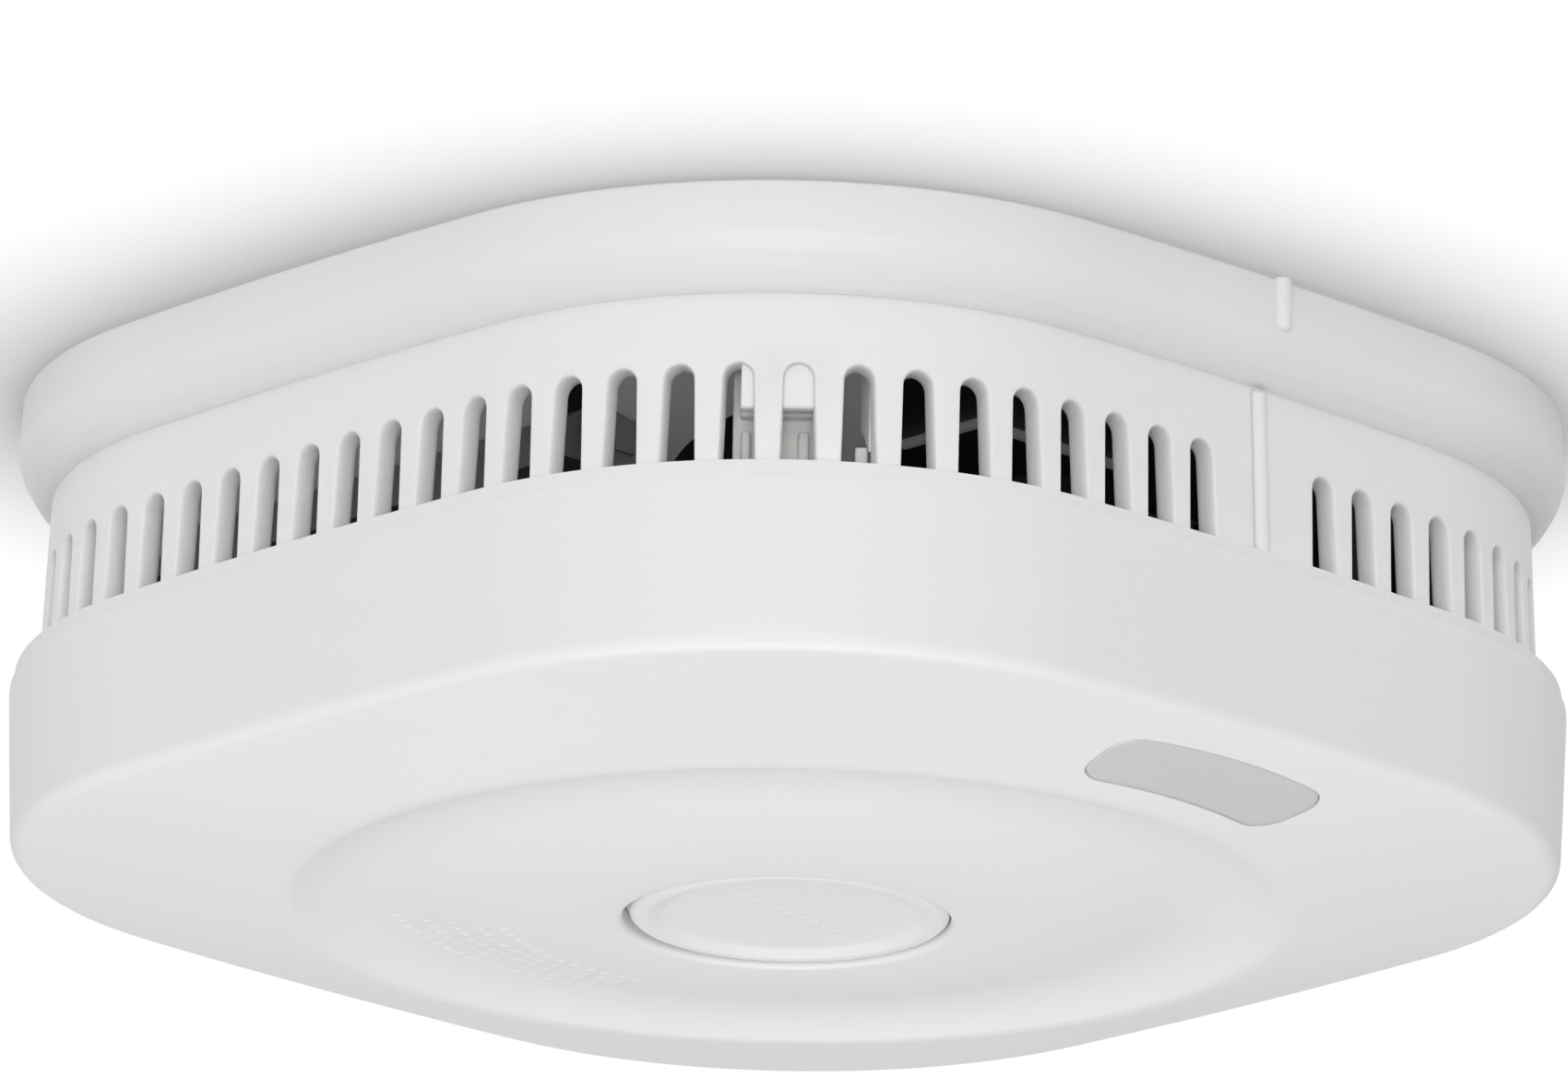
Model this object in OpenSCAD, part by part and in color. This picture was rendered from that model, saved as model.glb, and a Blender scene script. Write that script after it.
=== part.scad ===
// Ceiling smoke alarm with a bayonet mounting base and a press-to-test button.
// Millimetres. Origin: centre of the ceiling face. +Z points up into the ceiling.

/* [Body] */
// width and depth across the flat sides, mm
body_width = 116; // [100:1:130]
// radius of the four plan corners, mm
corner_radius = 38; // [30:0.5:46]
// distance of each corner's centre from the two side axes, mm
corner_at = 19.5; // [18:0.05:19.9]
// nominal wall of the mouldings, mm
wall = 2; // [1.6:0.1:2.6]

/* [Mounting base] */
// height of the base from the ceiling to the seam, mm
base_height = 8.7; // [7:0.1:11]
// depth at which the base starts to roll inwards, mm
base_crest = 4.7; // [3:0.1:6]
// distance the base edge sits in from the outline at the seam, mm
seam_inset = 3.07; // [2:0.05:4]
// gap between the base and the turning head, mm
seam_gap = 0.3; // [0.25:0.05:0.6]
// spacing of each pair of screw slots, mm
screw_spacing = 60; // [50:1:76]
// width of a screw slot, mm
slot_width = 4.4; // [3.6:0.1:5.2]
// end-to-end length of a screw slot, mm
slot_length = 9; // [6:0.5:12]
// radius of the cable opening, mm
cable_radius = 20; // [12:1:24]

/* [Grille] */
// depth of the rim where the grille meets the cover, mm
rim_depth = 23.65; // [20:0.05:28]
// number of louvre pitches round the ring
louvre_count = 78; // [60:1:90]
// depth of the round top of each louvre, mm
louvre_top = 14.85; // [13:0.05:18]
// louvre width at the round top, mm
louvre_top_width = 2.3; // [1.2:0.05:2.6]
// louvre width at the rim, mm
louvre_rim_width = 2.75; // [2:0.05:3.2]

/* [Front cover] */
// depth where the cover wall ends and its lower edge turns in, mm
cover_wall_depth = 38.24; // [35:0.05:42]
// radius of the lower edge, mm
cover_edge_radius = 1.15; // [0.8:0.05:2]
// depth of the dish edge, mm
dish_edge_depth = 42.87; // [41:0.05:46]
// radius of the round dish, mm
dish_radius = 42.4; // [36:0.1:46]
// recess of the dish below its edge, mm
dish_recess = 1.2; // [0.6:0.05:2]
// depth of the crown round the button, mm
crown_depth = 44.0; // [42:0.05:46]

/* [Test button] */
// radius of the button, mm
button_radius = 13.45; // [11:0.05:15]
// radius of the hole it sits in, mm
button_hole = 14; // [12:0.05:16]
// travel of the button, mm
button_travel = 1; // [0.5:0.1:1.2]

/* [Light window] */
// inner radius of the window, mm
window_inner = 45.8; // [44:0.1:48]
// outer radius of the window, mm
window_outer = 53; // [50:0.1:55]
// half angle of the window, degrees
window_half_angle = 14; // [8:0.5:20]

/* [Chamber] */
// outer radius of the smoke chamber, mm
chamber_radius = 24; // [18:0.5:26]
// number of labyrinth vanes
vane_count = 24; // [12:1:36]
// chamber centre, mm from the body axis along +X
chamber_x = 16; // [10:0.5:20]
// chamber centre, mm from the body axis along +Y
chamber_y = 14; // [8:0.5:18]

/* [Battery] */
// length of the lithium cell, mm
cell_length = 50; // [34:0.5:52]
// diameter of the lithium cell, mm
cell_diameter = 14.2; // [12:0.1:14.5]

/* [Hidden] */
$fn = 72;
eps = 0.01;
half = body_width / 2;

// plan outline: four corner arcs joined tangentially by four gently bowed side arcs
side_radius = (pow(corner_at, 2) + pow(half - corner_at, 2) - pow(corner_radius, 2))
    / (2 * (half - corner_at - corner_radius));
side_centre = half - side_radius;
side_angle = atan(corner_at / (corner_at - side_centre));
// a point on the line through both centres, beyond the outline
join = [side_centre + 1.2 * (corner_at - side_centre), 1.2 * corner_at];

// levels, all negative because the body hangs below the ceiling
z_seam = -base_height;
z_head = z_seam - seam_gap;
z_rim = -rim_depth;
z_shoulder = z_rim - 1.85;
z_wall_end = -cover_wall_depth;
z_face_edge = z_wall_end - cover_edge_radius * 0.957;
z_dish = -dish_edge_depth;
z_crown = -crown_depth;
z_hoop = z_rim - 2.75;
z_board = -26.6;
z_board_under = z_board - 1.6;
z_deck = z_head - 1.8;

// insets from the outline
grille_inset_top = seam_inset;
grille_inset_rim = 2.45;
face_inset = 1.37;
plate_inset = 5.1;
post_at = 38.2;
post_radius = 3.6;
dish_floor_radius = 38.5;
dish_floor = z_dish + dish_recess;

// bayonet
collar_radius = 41.6;
lug_reach = 43.8;
claw_inner = 42.2;
claw_outer = 44.2;
lug_angle = 12;
bayonet_count = 3;

button_top = -43.35;
switch_depth = 3.5;
plunger_end = z_board_under - 4.75;

// ---- helpers ----

// sweeps a section round the outline; x is measured outwards from it, y is height
module ring_sweep()
    for (i = [0:3]) rotate(90 * i) {
        intersection() {
            translate([side_centre, 0, 0]) rotate_extrude($fn = 720)
                translate([side_radius, 0]) children();
            translate([0, 0, -60]) linear_extrude(80)
                polygon([[side_centre, 0], [join[0], -join[1]], join]);
        }
        intersection() {
            translate([corner_at, corner_at, 0]) rotate_extrude($fn = 180)
                translate([corner_radius, 0]) children();
            translate([0, 0, -60]) linear_extrude(80)
                polygon([[corner_at, corner_at], join, [join[0], join[0]], [join[1], join[0]]]);
        }
    }

// flat plate with the body outline, inset from it
module outline_plate(inset, z0, z1) {
    ring_sweep() translate([-31, z0]) square([31 - inset, z1 - z0]);
    translate([0, 0, z0]) cylinder(r = 41, h = z1 - z0, $fn = 144);
}

function corner_point(inset, a) =
    [corner_at + (corner_radius - inset) * cos(a), corner_at + (corner_radius - inset) * sin(a)];
function side_point(inset, a) =
    [side_centre + (side_radius - inset) * cos(a), (side_radius - inset) * sin(a)];
function turned(p, a) = [p[0] * cos(a) - p[1] * sin(a), p[0] * sin(a) + p[1] * cos(a)];
function outline_points(inset) = [
    for (i = [0:3])
        each concat(
            [for (k = [-3:3]) turned(side_point(inset, side_angle * k / 3.5), 90 * i)],
            [for (k = [0:14])
                turned(corner_point(inset, side_angle + (90 - 2 * side_angle) * k / 14), 90 * i)])];

// body that runs from the rounded-square edge down to a round flat
module face_body(inset, z_edge, radius, z_flat)
    hull() {
        translate([0, 0, z_edge]) linear_extrude(0.1) polygon(outline_points(inset));
        translate([0, 0, z_flat]) cylinder(r = radius, h = eps, $fn = 96);
    }

module tube(outer, inner, z0, z1)
    translate([0, 0, z0]) difference() {
        cylinder(r = outer, h = z1 - z0);
        translate([0, 0, -1]) cylinder(r = inner, h = z1 - z0 + 2);
    }

module sector(outer, inner, z0, z1, half_angle)
    translate([0, 0, z0])
        rotate_extrude(angle = 2 * half_angle, start = -half_angle)
            translate([inner, 0]) square([outer - inner, z1 - z0]);

module at_corners() for (i = [0:3]) rotate(90 * i) translate([post_at, post_at, 0]) children();

// distance along the ring wall, turned into a place and a facing direction
louvre_radius = corner_radius - grille_inset_rim;
side_run = (side_radius - grille_inset_rim) * side_angle * PI / 180;
corner_run = louvre_radius * (90 - 2 * side_angle) * PI / 180;
quarter_run = 2 * side_run + corner_run;
pitch = 4 * quarter_run / louvre_count;
module at_louvre(s) {
    quarter = floor((s + side_run) / quarter_run);
    along = s - quarter * quarter_run;
    rotate(90 * quarter)
        if (along <= side_run)
            translate([side_centre, 0, 0])
                rotate(along / (side_radius - grille_inset_rim) * 180 / PI)
                    translate([side_radius, 0, 0]) children();
        else
            translate([corner_at, corner_at, 0])
                rotate(side_angle + (along - side_run) / louvre_radius * 180 / PI)
                    translate([corner_radius, 0, 0]) children();
}
// louvre 19 and 20 are left out, either side of the alignment rib
louvres = [for (i = [0:louvre_count - 1]) if (i != 19 && i != 20) i];

// ---- mounting base ----

module base_section() {
    roll = (pow(seam_inset - 0.1, 2) + pow(base_height - base_crest, 2)) / (2 * (seam_inset - 0.1));
    polygon([[-0.6, 0], [-0.36, -0.24], [-0.1, -base_crest], [-wall, -base_crest],
             [-wall - 0.2, -2.2], [-31, -2.2], [-31, 0]]);
    intersection() {
        difference() {
            translate([-0.1 - roll, -base_crest]) circle(r = roll, $fn = 180);
            translate([-0.1 - roll, -base_crest]) circle(r = roll - wall + 0.1, $fn = 180);
        }
        translate([-0.1 - roll, z_seam]) square([roll + 0.5, base_height - base_crest]);
    }
}

module screw_slot()
    translate([0, 0, -4]) {
        run = slot_length - slot_width;
        translate([-run / 2, -slot_width / 2, 0]) cube([run, slot_width, 6]);
        for (x = [-run / 2, run / 2]) translate([x, 0, 0]) cylinder(d = slot_width, h = 6);
    }

module mounting_base() color([0.91, 0.91, 0.9]) {
    difference() {
        union() {
            ring_sweep() base_section();
            translate([0, 0, -2.2]) cylinder(r = 41, h = 2.2, $fn = 144);
            tube(46, claw_outer, -7.8, -1);
            for (i = [0:bayonet_count - 1]) rotate(120 * i + 60)
                sector(claw_outer + 0.8, claw_inner, -7.8, -6.4, lug_angle / 2 + 1);
            // alignment rib
            translate([half - 0.45, 0, -base_crest + 0.2])
                cylinder(r = 0.85, h = base_crest - 0.2, $fn = 36);
        }
        translate([0, 0, -4]) cylinder(r = cable_radius, h = 6);
        for (a = [0:90:270]) rotate(a) translate([screw_spacing / 2, 0, 0]) screw_slot();
    }
}

// ---- head ----

module back_plate() color([0.9, 0.9, 0.89])
    difference() {
        union() {
            outline_plate(plate_inset, z_deck, z_head);
            tube(collar_radius, collar_radius - 2, z_head - 0.5, -4.4);
            for (i = [0:bayonet_count - 1]) rotate(120 * i + 60)
                sector(lug_reach, collar_radius - 0.8, -6.1, -4.9, lug_angle / 2);
            at_corners() translate([0, 0, z_board]) cylinder(r = post_radius, h = z_head - z_board - 0.5);
        }
        at_corners() {
            translate([0, 0, z_board - 1]) cylinder(r = 1.6, h = 30);
            translate([0, 0, -12]) cylinder(r = 3, h = 5);
        }
    }

module grille_section()
    polygon([[-grille_inset_top, z_head], [-grille_inset_rim, z_rim], [-grille_inset_rim, z_hoop],
             [-grille_inset_rim - 1.9, z_hoop], [-4.9, z_deck - 1.5], [-6.4, z_deck - 1.5],
             [-6.4, z_deck], [-5, z_deck], [-5, z_head]]);

module louvre_cut() {
    top = louvre_top + louvre_top_width / 2;
    drop = rim_depth + 1 - top;
    flare = louvre_top_width + (louvre_rim_width - louvre_top_width) * drop / (rim_depth - top);
    rotate([90, 0, 90]) translate([0, -top, -6]) linear_extrude(5) {
        circle(d = louvre_top_width, $fn = 24);
        polygon([[-louvre_top_width / 2, 0], [louvre_top_width / 2, 0],
                 [flare / 2, -drop], [-flare / 2, -drop]]);
    }
}

module grille_ring() color([0.91, 0.91, 0.9]) {
    difference() {
        ring_sweep() grille_section();
        rotate(-90) for (i = louvres) at_louvre(i * pitch) louvre_cut();
    }
    // alignment rib
    translate([half - grille_inset_rim - 0.35, 0, z_rim + 0.15]) rotate([0, -2.4, 0])
        cylinder(r = 0.9, h = z_head - z_rim - 0.35, $fn = 36);
}

// ---- front cover ----

module cover_section() {
    polygon([[-0.58, z_rim], [-0.36, z_rim - 0.5], [-0.16, z_rim - 1.05], [-0.04, z_rim - 1.55],
             [0, z_shoulder], [-0.48, z_wall_end], [-0.48 - cover_edge_radius, z_wall_end],
             [-face_inset, z_face_edge], [-6, z_face_edge], [-2.6, z_wall_end],
             [-2.3, z_hoop - 2.2], [-4.3, z_hoop - 1.4], [-4.3, z_hoop], [-2.2, z_hoop],
             [-2.2, z_rim]]);
    intersection() {
        translate([-0.48 - cover_edge_radius, z_wall_end]) circle(r = cover_edge_radius, $fn = 72);
        translate([-4, z_face_edge]) square([4, z_wall_end - z_face_edge]);
    }
}

// height of the dish surface at radius r
dish_bend = (pow(dish_floor_radius - button_hole - 1, 2)) / (2 * (dish_floor - z_crown));
function dish_height(r) =
    r >= dish_floor_radius
        ? dish_floor - dish_recess * pow((r - dish_floor_radius) / (dish_radius - dish_floor_radius), 2)
        : dish_floor - pow(dish_floor_radius - r, 2) / (2 * dish_bend);

module dish()
    rotate_extrude($fn = 144)
        polygon(concat(
            [for (k = [0:8]) let (r = dish_radius - k * (dish_radius - dish_floor_radius) / 8)
                [r, dish_height(r)]],
            [for (k = [1:14]) let (r = dish_floor_radius - k * (dish_floor_radius - button_hole - 0.9) / 14)
                [r, dish_height(r)]],
            [for (a = [70:-23.33:0]) [button_hole + 0.9 - 0.9 * cos(90 - a), z_crown + 0.9 - 0.9 * sin(a)]],
            [[button_hole, z_crown + wall], [button_hole + 2, z_crown + wall + 0.2],
             [dish_floor_radius - 8, dish_floor + wall - 0.2], [dish_floor_radius, dish_floor + wall],
             [dish_radius, dish_floor + wall - 0.4]]));

// rounded window shape, grown by a margin
module window_shape(grow) {
    middle = (window_inner + window_outer) / 2;
    reach = (window_outer - window_inner) / 2;
    turn = window_half_angle - asin(reach / middle) * 0.75;
    round_r = reach * 0.75;
    for (a = [-turn, turn], r = [middle - reach + round_r, middle + reach - round_r])
        rotate(a) translate([r, 0]) circle(r = round_r + grow, $fn = 48);
    difference() {
        intersection() {
            circle(r = window_outer + grow, $fn = 180);
            polygon([[0, 0], turned([90, 0], -turn), [90, 0], turned([90, 0], turn)]);
        }
        circle(r = window_inner - grow, $fn = 180);
    }
    for (s = [-1, 1]) rotate(s * turn) translate([middle, s * (round_r + grow) / 2])
        square([2 * (reach - round_r), round_r + grow], center = true);
}

module front_cover() color([0.91, 0.91, 0.9]) {
    difference() {
        union() {
            difference() {
                union() {
                    ring_sweep() cover_section();
                    face_body(face_inset, z_face_edge, dish_radius, z_dish);
                }
                face_body(2.62, z_wall_end + 0.3, dish_radius - 1, z_dish + wall + 0.1);
                translate([0, 0, -50]) cylinder(r = dish_radius, h = 20, $fn = 144);
            }
            // bosses that take the housing screws
            at_corners() translate([0, 0, -39.9]) cylinder(r = 3.2, h = z_board_under + 39.9);
        }
        at_corners() translate([0, 0, -38.4]) cylinder(r = 1.45, h = 20);
        translate([0, 0, -50]) linear_extrude(20) window_shape(0);
    }
    dish();
}

module light_window() color([0.8, 0.8, 0.79, 0.8])
    intersection() {
        difference() {
            face_body(face_inset + 0.05, z_face_edge, dish_radius, z_dish + 0.05);
            face_body(face_inset + 2, z_wall_end + 0.6, dish_radius - 1, z_dish + wall + 0.3);
        }
        translate([0, 0, -50]) linear_extrude(20) window_shape(-0.12);
    }

module light_guide() color([0.86, 0.87, 0.86, 0.6]) {
    translate([46, 0, -33]) cylinder(r = 2, h = 33 + z_board_under - 2);
    translate([46, 0, -38.2]) cylinder(r1 = 4, r2 = 2, h = 5.2);
}

// ---- test button ----

module test_button() color([0.91, 0.91, 0.9]) {
    rotate_extrude($fn = 144)
        polygon([[0, button_top], [10.2, button_top], [10.8, button_top - 0.2], [11.4, button_top - 0.65],
                 [11.9, button_top - 0.8], [12.6, button_top - 0.8], [13.1, button_top - 0.6],
                 [13.4, button_top - 0.25], [button_radius, button_top + 0.2],
                 [button_radius, -41.7], [15.2, -41.7], [15.2, -40.7], [12, -40.7],
                 [12, button_top + 1.7], [0, button_top + 1.7]]);
    translate([0, 0, button_top + 1]) cylinder(r = 2.4, h = plunger_end - 0.05 - button_top - 1);
    for (a = [0:60:300]) rotate(a) translate([2, -0.5, button_top + 1]) cube([10.5, 1, 2]);
}

module button_spring() color([0.75, 0.76, 0.78]) {
    coil = 6;
    wire = 0.35;
    turns = 6;
    bottom = button_top + 3 + wire;
    rise = (z_board_under - wire - bottom) / turns;
    tilt = atan(rise / 2 / (2 * coil));
    for (i = [0:turns - 1], s = [0, 1])
        translate([0, 0, bottom + rise * (i + s / 2 + 0.25)]) rotate(180 * s) rotate([0, tilt, 0])
            rotate_extrude(angle = 180) translate([coil / cos(tilt), 0]) circle(r = wire, $fn = 16);
    for (i = [0:2 * turns]) rotate(180 * (i % 2)) translate([coil, 0, bottom + rise * i / 2])
        sphere(r = wire * 1.15, $fn = 16);
}

module tact_switch() color([0.16, 0.16, 0.17]) {
    difference() {
        translate([-3, -3, z_board_under - switch_depth]) cube([6, 6, switch_depth]);
        translate([0, 0, z_board_under - switch_depth - 1]) cylinder(r = 1.8, h = 3.4);
    }
    for (x = [-3.4, 3.4], y = [-2.2, 2.2])
        translate([x - 0.5, y - 0.35, z_board_under - 0.3]) cube([1, 0.7, 0.3]);
}

module switch_plunger() color([0.85, 0.84, 0.8]) {
    translate([0, 0, plunger_end]) cylinder(r = 1.72, h = 2.6);
}

// ---- electronics ----

module circuit_board() color([0.1, 0.36, 0.2])
    difference() {
        outline_plate(7.4, z_board_under, z_board);
        at_corners() translate([0, 0, -30]) cylinder(r = 1.7, h = 5);
    }

module indicator_led() color([0.85, 0.2, 0.16, 0.8]) {
    translate([44.4, -1, z_board_under - 0.9]) cube([3.2, 2, 0.9]);
    translate([46, 0, z_board_under - 1.8]) cylinder(r = 0.95, h = 1);
}

module at_chamber() translate([chamber_x, chamber_y, 0]) children();

module chamber_base() color([0.07, 0.07, 0.07]) at_chamber() {
    difference() {
        union() {
            translate([0, 0, z_board]) cylinder(r = chamber_radius, h = 1.6, $fn = 96);
            tube(chamber_radius + 0.6, chamber_radius - 1, z_board, z_board + 2.8);
        }
        for (a = [35, 215]) rotate(a) translate([11, -2, z_board - 1]) cube([6, 4, 4]);
    }
}

module vane() {
    rotate(38) translate([0, -0.6, 0]) cube([5.2, 1.2, 10.4]);
    rotate(-52) translate([-0.6, -0.6, 0]) cube([3.4, 1.2, 10.4]);
}

module labyrinth() color([0.07, 0.07, 0.07]) at_chamber() {
    for (i = [0:vane_count - 1]) rotate(360 / vane_count * i)
        translate([chamber_radius - 7.2, 0, z_board + 1.6]) vane();
    tube(chamber_radius - 1.6, chamber_radius - 7.6, z_board + 1.6, z_board + 2.4);
}

module chamber_cap() color([0.07, 0.07, 0.07]) at_chamber()
    difference() {
        translate([0, 0, z_board + 12]) cylinder(r = chamber_radius + 0.6, h = 2.2, $fn = 96);
        translate([0, 0, z_board + 11]) cylinder(r = chamber_radius - 3, h = 2, $fn = 96);
    }

module insect_screen() color([0.35, 0.35, 0.36]) at_chamber()
    difference() {
        tube(chamber_radius - 0.3, chamber_radius - 0.7, z_board + 2.8, z_board + 12);
        for (i = [0:17]) rotate(20 * i) translate([chamber_radius - 2, -3, z_board + 4.2])
            cube([4, 6, 6.4]);
    }

module optic_block(lens_r) {
    translate([9.6, -3, z_board + 1.6]) cube([6, 6, 7.6]);
    translate([8.2, 0, z_board + 5.6]) rotate([0, 90, 0])
        cylinder(r1 = lens_r - 0.5, r2 = lens_r, h = 2);
    translate([11, -1.5, z_board]) cube([4, 3, 2]);
}

module ir_emitter() color([0.2, 0.2, 0.24]) at_chamber() rotate(35) optic_block(2.5);
module photodiode() color([0.12, 0.12, 0.14]) at_chamber() rotate(215) optic_block(2);

module piezo_horn() color([0.93, 0.93, 0.91]) translate([-26, 22, 0]) {
    difference() {
        translate([0, 0, z_board]) cylinder(r = 15.4, h = 13.6, $fn = 96);
        translate([0, 0, z_board - 1]) cylinder(r = 13.9, h = 13, $fn = 96);
        translate([0, 0, z_board + 5]) cylinder(r = 4, h = 12);
        for (a = [0:30:330]) rotate(a) translate([12, -1.2, z_board + 7]) cube([5, 2.4, 3]);
    }
    tube(14, 12.6, z_board + 2, z_board + 3);
}

module piezo_disc() color([0.78, 0.62, 0.3]) translate([-26, 22, 0]) {
    translate([0, 0, z_board + 1.7]) cylinder(r = 13.5, h = 0.3, $fn = 96);
    translate([0, 0, z_board + 1.4]) cylinder(r = 9, h = 0.3, $fn = 96);
    for (x = [-11, 11]) translate([x, 0, z_board]) cylinder(r = 0.8, h = 1.7);
}

cell_z = z_board + 0.9 + cell_diameter / 2;
module at_cell() translate([-6, -38, cell_z]) children();

module battery_cell() color([0.62, 0.64, 0.66]) at_cell() rotate([0, 90, 0]) {
    translate([0, 0, -cell_length / 2 + 1]) cylinder(d = cell_diameter, h = cell_length - 2.2);
    translate([0, 0, -cell_length / 2]) cylinder(d = cell_diameter - 2, h = cell_length - 1);
    translate([0, 0, 0]) cylinder(r = 2.6, h = cell_length / 2);
}

module battery_holder() color([0.09, 0.09, 0.1]) at_cell()
    difference() {
        translate([-cell_length / 2 - 2.4, -8.4, -cell_diameter / 2 - 0.9])
            cube([cell_length + 4.8, 16.8, 8.4]);
        translate([-cell_length / 2 - 0.9, -cell_diameter / 2 - 0.1, -cell_diameter / 2 - 0.05])
            cube([cell_length + 1.8, cell_diameter + 0.2, 20]);
        for (x = [-15, 15]) translate([x - 5, -20, -3]) cube([10, 40, 10]);
    }

module battery_terminals() color([0.8, 0.8, 0.8]) at_cell()
    for (s = [-1, 1]) {
        x = s > 0 ? cell_length / 2 + 0.05 : -cell_length / 2 - 0.35;
        translate([x, -4, -cell_diameter / 2]) cube([0.3, 8, cell_diameter - 1]);
        translate([s > 0 ? x : x - 0.45, -1, 3]) cube([0.75, 2, 1.2]);
    }

module housing_screws() color([0.72, 0.73, 0.75])
    at_corners() {
        difference() {
            translate([0, 0, -12]) cylinder(r = 2.8, h = 1.9);
            for (a = [0, 90]) rotate(a) translate([-1.6, -0.35, -11.1]) cube([3.2, 0.7, 2]);
        }
        translate([0, 0, -37]) cylinder(r = 1.4, h = 25.5);
    }

module controller_chip() color([0.1, 0.1, 0.11]) translate([24, -24, z_board]) {
    translate([-3.5, -3.5, 0.1]) cube([7, 7, 1.4]);
    for (a = [0:90:270], k = [-3:3]) rotate(a) translate([3.3, k * 0.8 - 0.15, 0]) cube([1.3, 0.3, 0.6]);
}

module capacitors() color([0.2, 0.22, 0.3])
    for (p = [[-44, -8, 4], [-44, 3, 4], [26.6, -33, 2.6]]) translate([p[0], p[1], z_board]) {
        difference() {
            cylinder(r = p[2], h = 2.75 * p[2]);
            translate([0, 0, p[2]]) tube(p[2] + 1, p[2] - 0.3, 0, 0.5);
        }
    }

// upright bracket behind the louvres of the corner between -Y and +X; local x runs outward
module corner_bracket() color([0.9, 0.9, 0.88]) rotate(-45) {
    foot = z_board + 0.4;
    translate([58.2, -4, foot]) cube([0.8, 8.4, -12.5 - foot]);
    translate([57.9, -4, -13.5]) cube([0.6, 8.4, 13.5 + z_deck - 0.05]);
    translate([58.9, -3.2, -18.8]) cube([1.3, 7.6, 6.3]);
    for (y = [-3.2, 1.6]) translate([58.9, y, foot]) cube([0.7, 0.8, -20.6 - foot]);
    translate([57.9, 4.3, -13.5]) cube([0.8, 4.7, 1]);
    translate([57.9, 7.1, -21.2]) cube([1.4, 1.9, 8.7]);
    translate([58.2, 4.3, foot]) cube([0.8, 3.1, 1.2]);
    translate([58.6, 6.3, foot]) cube([1, 1.1, -21.9 - foot]);
}

mounting_base();
back_plate();
grille_ring();
front_cover();
light_window();
light_guide();
test_button();
button_spring();
tact_switch();
switch_plunger();
circuit_board();
indicator_led();
chamber_base();
labyrinth();
chamber_cap();
insect_screen();
ir_emitter();
photodiode();
piezo_horn();
piezo_disc();
battery_cell();
battery_holder();
battery_terminals();
housing_screws();
controller_chip();
capacitors();
corner_bracket();
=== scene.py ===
import math

import bmesh
import bpy
import numpy as np
from mathutils import Matrix, Vector
from mathutils.bvhtree import BVHTree


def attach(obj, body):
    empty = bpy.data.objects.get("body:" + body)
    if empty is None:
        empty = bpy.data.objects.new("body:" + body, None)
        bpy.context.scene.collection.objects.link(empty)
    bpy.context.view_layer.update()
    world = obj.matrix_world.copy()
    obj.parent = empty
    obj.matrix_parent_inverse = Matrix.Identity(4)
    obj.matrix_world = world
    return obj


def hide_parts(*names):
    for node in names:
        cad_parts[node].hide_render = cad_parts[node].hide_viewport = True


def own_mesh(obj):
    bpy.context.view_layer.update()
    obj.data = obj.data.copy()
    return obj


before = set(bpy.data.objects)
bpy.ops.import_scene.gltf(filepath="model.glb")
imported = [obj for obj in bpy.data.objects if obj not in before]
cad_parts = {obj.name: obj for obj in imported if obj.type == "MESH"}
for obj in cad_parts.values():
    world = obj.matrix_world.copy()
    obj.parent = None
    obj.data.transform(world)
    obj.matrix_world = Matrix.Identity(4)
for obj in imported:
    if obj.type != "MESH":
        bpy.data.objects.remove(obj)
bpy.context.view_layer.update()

scene = bpy.context.scene
MM = 0.001

# ---------------------------------------------------------------- plan outline (mm)
HALF = 58.0               # from the middle to the side middles
CORNER_R = 38.0           # radius of the corner arcs
CORNER_AT = 19.5          # x and y of their centres
SIDE_R = (CORNER_AT ** 2 + (HALF - CORNER_AT) ** 2 - CORNER_R ** 2) / (2 * (HALF - CORNER_AT - CORNER_R))
SIDE_AT = HALF - SIDE_R   # centre of the large arc of the +X side
SIDE_TURN = math.atan(CORNER_AT / (CORNER_AT - SIDE_AT))
FACE_IN = 2.45            # runs are measured on the louvre face, this far in from the outline
SIDE_RUN = (SIDE_R - FACE_IN) * SIDE_TURN
CORNER_RUN = (CORNER_R - FACE_IN) * (math.pi / 2 - 2 * SIDE_TURN)
QUARTER = 2 * SIDE_RUN + CORNER_RUN
COUNT = 78                # louvre cells round the outline
BLANK = (19, 20)          # cells without an opening, at the rib
PITCH = 4 * QUARTER / COUNT
COLS = 8                  # mesh columns in a cell
RUNS = np.arange(COUNT * COLS) * PITCH / COLS - PITCH / 2


def frame_at(run):
    """Centre, radius and normal angle of the outline at a distance along it from the -Y middle."""
    run = np.asarray(run, float)
    quarter = np.floor((run + SIDE_RUN) / QUARTER)
    along = run - quarter * QUARTER
    side = along <= SIDE_RUN
    turn = (quarter - 1) * math.pi / 2
    theta = np.where(side, along / (SIDE_R - FACE_IN),
                     SIDE_TURN + (along - SIDE_RUN) / (CORNER_R - FACE_IN))
    cx0, cy0 = np.where(side, SIDE_AT, CORNER_AT), np.where(side, 0.0, CORNER_AT)
    c, s = np.cos(turn), np.sin(turn)
    return cx0 * c - cy0 * s, cx0 * s + cy0 * c, np.where(side, SIDE_R, CORNER_R), theta + turn


def on_outline(run, inset):
    """Places on the outline moved inwards, at distances along it."""
    cx, cy, r, theta = frame_at(run)
    return np.stack([cx + (r - inset) * np.cos(theta), cy + (r - inset) * np.sin(theta)], -1)


THETA = frame_at(RUNS)[3]
DISH_OFF = np.array([0.19, 0.19])    # the dish sits this far off the middle of the outline
OFF_BELOW = -30.0                    # rings below this level follow the dish


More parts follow.
